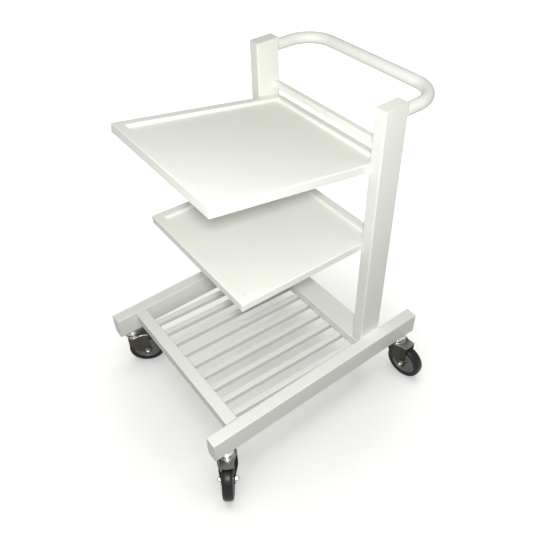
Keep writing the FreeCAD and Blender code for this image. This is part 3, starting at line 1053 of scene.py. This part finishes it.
@dataclass
class Castor:
    """One swivel castor, drawn with its swivel axis up the Z axis and its wheel towards +X."""

    shop: Workshop
    spot: CastorSpot
    trail: float = 40 * MM
    wheel_radius: float = 62.5 * MM
    tyre_half: float = 16 * MM
    shoulder: float = 54 * MM
    tread_power: float = 0.71
    line_radius: float = 50.4 * MM
    line_depth: float = 0.7 * MM
    centre_radius: float = 45 * MM
    fork_half: float = 21 * MM
    crown_half: float = 22.5 * MM
    head_radius: float = 31 * MM
    head_reach: float = 34 * MM
    flare_low: float = 69 * MM
    flare_high: float = 98 * MM
    head_cuts: range = range(-5, 13)
    cut_pitch: float = 3 * MM
    flare_cuts: int = 5
    fold: float = 4.2 * MM
    fork_sheet: float = 2.5 * MM
    sheet_edge: float = 0.5 * MM
    crown_top: float = 140 * MM
    crown_lead: float = 16 * MM
    crown_tail: float = 51 * MM
    crown_bulge: float = 3.5 * MM
    leg_end: float = 16 * MM
    leg_slant: float = 40.0
    mount_height: float = 161 * MM
    cup_depth: float = 9.4 * MM
    bore: float = 6.2 * MM
    ring_core: float = 20 * MM
    ring_edge: float = 1.1 * MM
    track_gap: float = 0.05 * MM
    nut_flats: float = 13 * MM
    hex_height: float = 6.4 * MM
    dome_radius: float = 6 * MM
    washer_radius: float = 7.9 * MM
    swivel: Vector = field(init=False)
    axle: Vector = field(init=False)

    def __post_init__(self) -> None:
        """Read the two axes of the castor from its joints."""
        joints = {joint["name"]: joint for joint in frame["joints"]}
        self.swivel = Vector(joints[f"{self.spot.value}_turn"]["pos_m"])
        self.axle = Vector(joints[f"{self.spot.value}_roll"]["pos_m"])

    @property
    def swivel_body(self) -> str:
        """The body that swivels under the rail."""
        return f"{self.spot.value}_swivel"

    @property
    def wheel_body(self) -> str:
        """The body that rolls on the axle."""
        return f"{self.spot.value}_wheel"

    def node(self, part: str) -> str:
        """The full name of one of the castor's solids."""
        return f"castor_{self.spot.value}_{part}"

    def heading(self) -> float:
        """The direction of the wheel from the swivel axis, in radians."""
        ahead = self.axle - self.swivel
        return math.atan2(ahead.y, ahead.x)

    def seat(self, bm: BMesh) -> None:
        """Move a shape from the castor's frame to its place under the rail."""
        turn = Matrix.Rotation(self.heading(), 4, "Z")
        bmesh.ops.transform(bm, matrix=Matrix.Translation((*self.swivel.xy, 0)) @ turn, verts=bm.verts)

    def seat_at_axle(self, bm: BMesh) -> None:
        """Move a shape turned about the Y axis to the castor's axle."""
        bmesh.ops.translate(bm, vec=(self.trail, 0, self.wheel_radius), verts=bm.verts)
        self.seat(bm)

    def leg_outline(self, bm: BMesh) -> None:
        """Draw one leg of the fork with the crown's side above it, as a flat face.

        Args:
            bm: Receives the face.
        """
        side = -self.fork_half
        slant = math.radians(self.leg_slant)
        meet = math.acos((self.crown_tail - self.trail) / self.leg_end)
        tangent_x = self.trail - self.leg_end * math.cos(slant)
        tangent_z = self.wheel_radius - self.leg_end * math.sin(slant)
        lead_z = tangent_z + (tangent_x + self.crown_lead) / math.tan(slant)
        tail_z = self.wheel_radius + self.leg_end * math.sin(meet)
        start = bm.verts.new((self.crown_tail, side, tail_z))
        swept = bmesh.ops.spin(
            bm, geom=[start], cent=(self.trail, side, self.wheel_radius), axis=(0, 1, 0),
            dvec=(0, 0, 0), angle=meet + math.pi - slant, steps=28, use_duplicate=False,
        )
        lead, tail, top = -self.crown_lead, self.crown_tail, self.crown_top
        corners = [bm.verts.new((x, side, z)) for x, z in ((lead, lead_z), (lead, top), (tail, top))]
        chain = verts_in(swept["geom_last"]) + corners + [start]
        for pair in zip(chain, chain[1:]):
            bm.edges.new(pair)
        bmesh.ops.edgeloop_fill(bm, edges=bm.edges[:])

    def fork(self) -> None:
        """Fold the fork from one sheet: two slanted legs and a crown that widens round the swivel."""
        bm = bmesh.new()
        half = self.fork_half
        self.leg_outline(bm)
        solid = bmesh.ops.extrude_face_region(bm, geom=bm.faces[:])["geom"]
        bmesh.ops.translate(bm, vec=(0, 2 * half, 0), verts=verts_in(solid))
        bmesh.ops.recalc_face_normals(bm, faces=bm.faces)
        rim = [face for face in bm.faces if abs(face.normal.y) < 0.5 and face.normal.z < FACING]
        bmesh.ops.delete(bm, geom=rim, context="FACES_ONLY")
        tail = [edge for edge in bm.edges
                if runs_along(edge, Axis.Y) and lies_at(edge, Axis.X, self.crown_tail)]
        for vert in verts_in(bmesh.ops.subdivide_edges(bm, edges=tail, cuts=9)["geom_inner"]):
            vert.co.x += self.crown_bulge * (1 - (vert.co.y / half) ** 2)

        def crown_side(edge: BMEdge) -> bool:
            """Whether an edge is where the crown folds down into a leg."""
            lengthwise = runs_along(edge, Axis.X) and not edge.is_boundary
            return lengthwise and lies_at(edge, Axis.Z, self.crown_top)

        round_off(bm, crown_side, self.fold, segments=6)
        self.spread_legs(bm)
        bmesh.ops.recalc_face_normals(bm, faces=bm.faces)
        top = max(bm.faces, key=lambda face: face.calc_center_median().z)
        if top.normal.z < 0:
            bmesh.ops.reverse_faces(bm, faces=bm.faces)
        bmesh.ops.solidify(bm, geom=bm.faces[:], thickness=self.fork_sheet)
        self.seat(bm)
        piece = self.shop.piece(f"{self.node('fork')}_shell", bm, ForkSteel(), self.swivel_body,
                                [self.node("fork")])
        soften = piece.modifiers.new("SheetEdges", "BEVEL")
        soften.width = self.sheet_edge
        soften.segments = 2
        soften.limit_method = "ANGLE"
        soften.angle_limit = math.radians(50)
        piece.modifiers.move(1, 0)

    def spread_legs(self, bm: BMesh) -> None:
        """Widen the straight fork to a round head about the swivel, blending into the legs.

        Args:
            bm: The fork, folded straight.
        """
        tall = self.flare_high - self.flare_low
        cuts = [(Axis.X, step * self.cut_pitch) for step in self.head_cuts]
        for step in range(self.flare_cuts + 1):
            cuts.append((Axis.Z, self.flare_low + tall * step / self.flare_cuts))
        for axis, place in cuts:
            bmesh.ops.bisect_plane(bm, geom=bm.verts[:] + bm.edges[:] + bm.faces[:],
                                   plane_co=axis.vector * place, plane_no=axis.vector)
        for vert in bm.verts:
            rise = smooth((vert.co.z - self.flare_low) / tall)
            straight = self.fork_half + (self.crown_half - self.fork_half) * rise
            if vert.co.x < 0:
                wide = math.sqrt(self.head_radius ** 2 - vert.co.x ** 2)
            else:
                near = 1 - smooth(vert.co.x / self.head_reach)
                wide = straight + (self.head_radius - straight) * near
            vert.co.y *= wide / self.fork_half

    def raceway(self) -> None:
        """Turn the two rings on the fork's crown and the ball track between them, in near-black as painted
        shade of the grooves.
        """
        base, core, top = self.crown_top - self.fork_sheet, self.ring_core, self.crown_top
        lower = (base, top + 2.4 * MM, 26.5 * MM)
        upper = (top + 5.2 * MM, top + 9.0 * MM, 24.2 * MM)
        rings = bmesh.new()
        for low, high, radius in (lower, upper):
            turn_profile(rings, [(low, core), (low, radius), (high, radius), (high, core)], Axis.Z)
            for height in (low, high):
                round_off(rings, ring_edges(Axis.Z, height, radius), self.ring_edge, segments=3)
        self.seat(rings)
        self.shop.piece(self.node("raceway"), rings, ZincPlate(), self.swivel_body)
        track, body, neck = bmesh.new(), core + self.track_gap, 15.5 * MM
        shoulder, end = top + 10.5 * MM, top + 13 * MM
        profile = [(base, self.bore), (base, body), (shoulder, body), (end, neck), (end, self.bore)]
        turn_profile(track, profile, Axis.Z)
        self.seat(track)
        # Painted shade: the near-black track shows through the grooves between the rings.
        self.shop.piece(self.node("ball_track"), track, GrooveShadeTrack(), self.swivel_body)

    def race(self) -> None:
        """Turn the stepped cup that sits against the rail."""
        bm = bmesh.new()
        top, lip = self.mount_height, self.mount_height - self.cup_depth
        step, shoulder = top - 2.6 * MM, lip + 4 * MM
        cap, cup, inside = 18 * MM, 23.5 * MM, 21.5 * MM
        ceiling, neck = step - 1.4 * MM, 16 * MM
        outside = [(top, self.bore), (top, cap), (step, cap), (shoulder, cup), (lip, cup)]
        hollow = [(lip, inside), (lip + 2.4 * MM, inside), (ceiling, neck), (ceiling, self.bore)]
        turn_profile(bm, outside + hollow, Axis.Z)
        round_off(bm, ring_edges(Axis.Z, shoulder, cup), 1.2 * MM, segments=3)
        round_off(bm, ring_edges(Axis.Z, step, cap), 0.8 * MM, segments=3)
        self.seat(bm)
        self.shop.piece(f"{self.node('race')}_cup", bm, ZincPlate(), FRAME_BODY, [self.node("race")])

    def tyre(self) -> None:
        """Turn the tyre, with a crowned tread and a moulded line on each side."""
        bm = bmesh.new()
        half, tread, bead, line = self.tyre_half, self.wheel_radius, self.centre_radius, self.line_radius
        inner = half - self.line_depth
        slope, width = 0.6 * MM, 1.0 * MM
        one_side = [
            (inner, bead), (inner, bead + 1.6 * MM), (half, bead + 1.6 * MM + slope), (half, line),
            (inner, line + slope), (inner, line + slope + width), (half, line + 2 * slope + width),
        ]
        steps, power = 14, self.tread_power
        for step in range(steps):
            angle = QUARTER_TURN * step / steps
            one_side.append((half * math.cos(angle) ** power,
                             self.shoulder + (tread - self.shoulder) * math.sin(angle) ** power))
        turn_profile(bm, both_sides(one_side, [(0.0, tread)]), Axis.Y, steps=128)
        self.seat_at_axle(bm)
        self.shop.piece(f"{self.node('tyre')}_tread", bm, TyreRubber(), self.wheel_body,
                        [self.node("tyre")], crease=50.0)

    def wheel_centre(self) -> None:
        """Turn the moulded wheel centre: boss, web with a raised ring, and a beaded rim."""
        bm = bmesh.new()
        rim, web, boss, ring = 13.5 * MM, 10 * MM, 18.1 * MM, 11.2 * MM
        one_side = [
            (boss, 6.05 * MM), (boss, 11.5 * MM), (boss - 1.5 * MM, 13 * MM), (web, 13.6 * MM),
            (web, 24 * MM), (ring, 24.6 * MM), (ring, 26.4 * MM), (web, 27 * MM), (web, 36.6 * MM),
            (web + 2.4 * MM, 37.6 * MM), (rim + 0.9 * MM, 38.6 * MM), (rim + 1.5 * MM, 39.8 * MM),
            (rim + 0.9 * MM, 41 * MM), (rim, 41.8 * MM), (rim, self.centre_radius),
        ]
        turn_profile(bm, both_sides(one_side), Axis.Y, steps=112)
        self.seat_at_axle(bm)
        self.shop.piece(f"{self.node('wheel_centre')}_moulding", bm, WheelPlastic(), self.wheel_body,
                        [self.node("wheel_centre")], crease=50.0)

    def cap_nut(self) -> BMesh:
        """Make one domed cap nut with its washer, standing on the origin.

        Returns:
            The nut.
        """
        nut = bmesh.new()
        washer, high = 0.9 * MM, self.hex_height
        across_corners = self.nut_flats / math.cos(math.pi / 6)
        bmesh.ops.create_circle(nut, cap_ends=True, segments=6, radius=across_corners / 2)
        body = bmesh.ops.extrude_face_region(nut, geom=nut.faces[:])["geom"]
        bmesh.ops.translate(nut, vec=(0, 0, high), verts=verts_in(body))
        round_off(nut, lambda edge: lies_at(edge, Axis.Z, high), 0.7 * MM, segments=2)
        reach = self.washer_radius
        turn_profile(nut, [(0, 0), (0, reach), (washer, reach), (washer, 0)], Axis.Z, steps=48)
        steps, radius = 10, self.dome_radius
        angles = [QUARTER_TURN * step / steps for step in range(steps + 1)]
        dome = [(high + radius * math.sin(angle), radius * math.cos(angle)) for angle in angles]
        root = high - 0.1 * MM
        turn_profile(nut, [(root, 0), (root, radius), *dome], Axis.Z, steps=48)
        return nut

    def axle_nuts(self) -> None:
        """Put a cap nut on each end of the axle."""
        bm = bmesh.new()
        for facing in (1, -1):
            nut = self.cap_nut()
            turn = Matrix.Rotation(-facing * QUARTER_TURN, 4, "X")
            place = Matrix.Translation((0, facing * self.fork_half, 0))
            bmesh.ops.transform(nut, matrix=place @ turn, verts=nut.verts)
            add_shape(bm, nut)
        self.seat_at_axle(bm)
        self.shop.piece(f"{self.node('axle_nuts')}_caps", bm, ZincPlate(), self.swivel_body,
                        [self.node("axle_nuts")], crease=30.0)

    def build(self) -> None:
        """Make every part of the castor."""
        self.race()
        self.raceway()
        self.fork()
        self.tyre()
        self.wheel_centre()
        self.axle_nuts()
        self.shop.refinish([self.node(part) for part in ("stem", "axle", "sleeve")], ZincPlate())


# Studio


class Lit(Enum):
    """What a lamp shines on: the link state of the floor in its list of receivers."""

    FLOOR = "INCLUDE"
    TROLLEY = "EXCLUDE"


@dataclass(frozen=True)
class Lamp:
    """A soft square lamp that shines on the floor or on the trolley."""

    name: str
    place: Place
    aim: Place
    size: float
    power: float
    lit: Lit

    def build(self, floor: bpy.types.Object) -> None:
        """Hang the lamp.

        Args:
            floor: The floor, which is all that the lamp shines on, or all that it leaves out.
        """
        data = bpy.data.lights.new(self.name, "AREA")
        data.shape = "SQUARE"
        data.size = self.size
        data.energy = self.power
        lamp = bpy.data.objects.new(self.name, data)
        lamp.location = self.place
        lamp.rotation_mode = "QUATERNION"
        lamp.rotation_quaternion = (Vector(self.aim) - Vector(self.place)).to_track_quat("-Z", "Y")
        bpy.context.scene.collection.objects.link(lamp)
        receivers = bpy.data.collections.new(f"{self.name}_receivers")
        receivers.objects.link(floor)
        receivers.collection_objects[0].light_linking.link_state = self.lit.value
        lamp.light_linking.receiver_collection = receivers


@dataclass
class Studio:
    """A white floor under plain soft light, and the camera."""

    camera_place: Place = (1.1243, -0.77047, 1.712)
    azimuth: float = 54.82
    elevation: float = 42.7
    roll: float = -2.26
    lens: float = 41.14
    sensor: float = 36.0
    clip_end: float = 60.0
    floor_reach: float = 9.0
    floor_seen: float = 0.9
    floor_lit: float = 0.08
    glow_near: float = 0.39
    glow_far: float = 0.95
    glow_start: float = 0.45
    glow_end: float = 1.7
    ambient: float = 0.318
    ambient_tint: Colour = (1.0, 1.0, 0.9)
    lamps: tuple[Lamp, ...] = (
        Lamp("flash", (1.095, -0.745, 1.735), (0.0, 0.0, 0.5), 0.16, 29.0, Lit.TROLLEY),
        Lamp("over", (0.0, 0.0, 6.0), (0.0, 0.0, 0.0), 4.0, 154.0, Lit.FLOOR),
    )

    def aim_camera(self) -> None:
        """Set the camera at the photograph's viewpoint."""
        turn, rise, roll = (math.radians(angle) for angle in (self.azimuth, self.elevation, self.roll))
        back = Vector((math.sin(turn) * math.cos(rise), -math.cos(turn) * math.cos(rise), math.sin(rise)))
        level = Vector((math.cos(turn), math.sin(turn), 0))
        above = back.cross(level)
        right = math.cos(roll) * level + math.sin(roll) * above
        up = math.cos(roll) * above - math.sin(roll) * level
        data = bpy.data.cameras.new("view")
        data.lens = self.lens
        data.sensor_width = self.sensor
        data.clip_end = self.clip_end
        camera = bpy.data.objects.new("view", data)
        basis = Matrix((right, up, back)).transposed().to_4x4()
        camera.matrix_world = Matrix.Translation(self.camera_place) @ basis
        bpy.context.scene.collection.objects.link(camera)
        bpy.context.scene.camera = camera

    def lay_floor(self) -> bpy.types.Object:
        """Lay the floor, white to the camera and grey where the trolley shades it.

        Returns:
            The floor.
        """
        bm = bmesh.new()
        bmesh.ops.create_circle(bm, cap_ends=True, segments=96, radius=self.floor_reach)
        mesh = bpy.data.meshes.new("studio_floor")
        bm.to_mesh(mesh)
        bm.free()
        bench = NodeBench("studio_floor")
        bench.set(Roughness=0.9, Specular_IOR_Level=0.1)
        self.whiten(bench)
        mesh.materials.append(bench.material)
        floor = bpy.data.objects.new("studio_floor", mesh)
        bpy.context.scene.collection.objects.link(floor)
        return floor

    @staticmethod
    def seen_directly(tree: bpy.types.NodeTree) -> Socket:
        """Tell what the camera, gloss and glass see from plain lighting.

        Args:
            tree: The nodes of a material or of the world.

        Returns:
            1 for what is seen and 0 for plain lighting.
        """
        path = tree.nodes.new("ShaderNodeLightPath")
        value = path.outputs["Is Camera Ray"]
        for name in ("Is Glossy Ray", "Is Transmission Ray"):
            larger = tree.nodes.new("ShaderNodeMath")
            larger.operation = "MAXIMUM"
            tree.links.new(value, larger.inputs[0])
            tree.links.new(path.outputs[name], larger.inputs[1])
            value = larger.outputs[0]
        return value

    def whiten(self, bench: NodeBench) -> None:
        """Make the floor look white and glow a little more with distance, but light nothing.

        Args:
            bench: The floor's material.
        """
        seen = self.seen_directly(bench.tree)
        shade = bench.spread(seen, self.floor_lit, self.floor_seen, 0.0, 1.0)
        bench.join(shade, "Base Color")
        reach = bench.tree.nodes.new("ShaderNodeVectorMath")
        reach.operation = "LENGTH"
        bench.tree.links.new(bench.place, reach.inputs[0])
        strength = bench.spread(reach.outputs["Value"], self.glow_near, self.glow_far,
                                self.glow_start, self.glow_end)
        lift = bench.tree.nodes.new("ShaderNodeMath")
        lift.operation = "MULTIPLY"
        bench.tree.links.new(strength, lift.inputs[0])
        bench.tree.links.new(seen, lift.inputs[1])
        bench.set(Emission_Color=(1, 1, 1, 1))
        bench.join(lift.outputs[0], "Emission Strength")

    def light_room(self) -> None:
        """Fill the room with an even light that looks white to the camera."""
        world = bpy.data.worlds.new("studio")
        world.use_nodes = True
        tree = world.node_tree
        background = tree.nodes["Background"]
        lighting = tuple(self.ambient * share for share in self.ambient_tint)
        colour = blend(tree, self.seen_directly(tree), lighting, (1, 1, 1))
        tree.links.new(colour, background.inputs["Color"])
        bpy.context.scene.world = world

    def build(self) -> None:
        """Set up the room, the lamps and the camera."""
        bpy.context.scene.view_settings.view_transform = "Standard"
        floor = self.lay_floor()
        self.light_room()
        for lamp in self.lamps:
            lamp.build(floor)
        self.aim_camera()


def write_size_file() -> None:
    """Bring the objects' placements up to date."""
    bpy.context.view_layer.update()


def main() -> None:
    """Build the dressed trolley and its studio."""
    logging.basicConfig(level=logging.INFO, format="%(message)s")
    shop = Workshop()
    shelves = [
        Shelf(shop, "top_shelf", 171 * MM, 546 * MM, edge=25 * MM, tilt=10.1, setback=2 * MM),
        Shelf(shop, "lower_shelf", 420 * MM, 479 * MM, edge=23 * MM, tilt=2.0, setback=1 * MM),
    ]
    TubeWork(shop).build()
    PushHandle(shop).build()
    for shelf in shelves:
        shelf.build()
    Welds(shop).build(shelves)
    for spot in CastorSpot:
        Castor(shop, spot).build()
    shop.refinish(["stem_nuts"], ZincPlate())
    Studio().build()
    write_size_file()


if __name__ == "__main__":
    main()
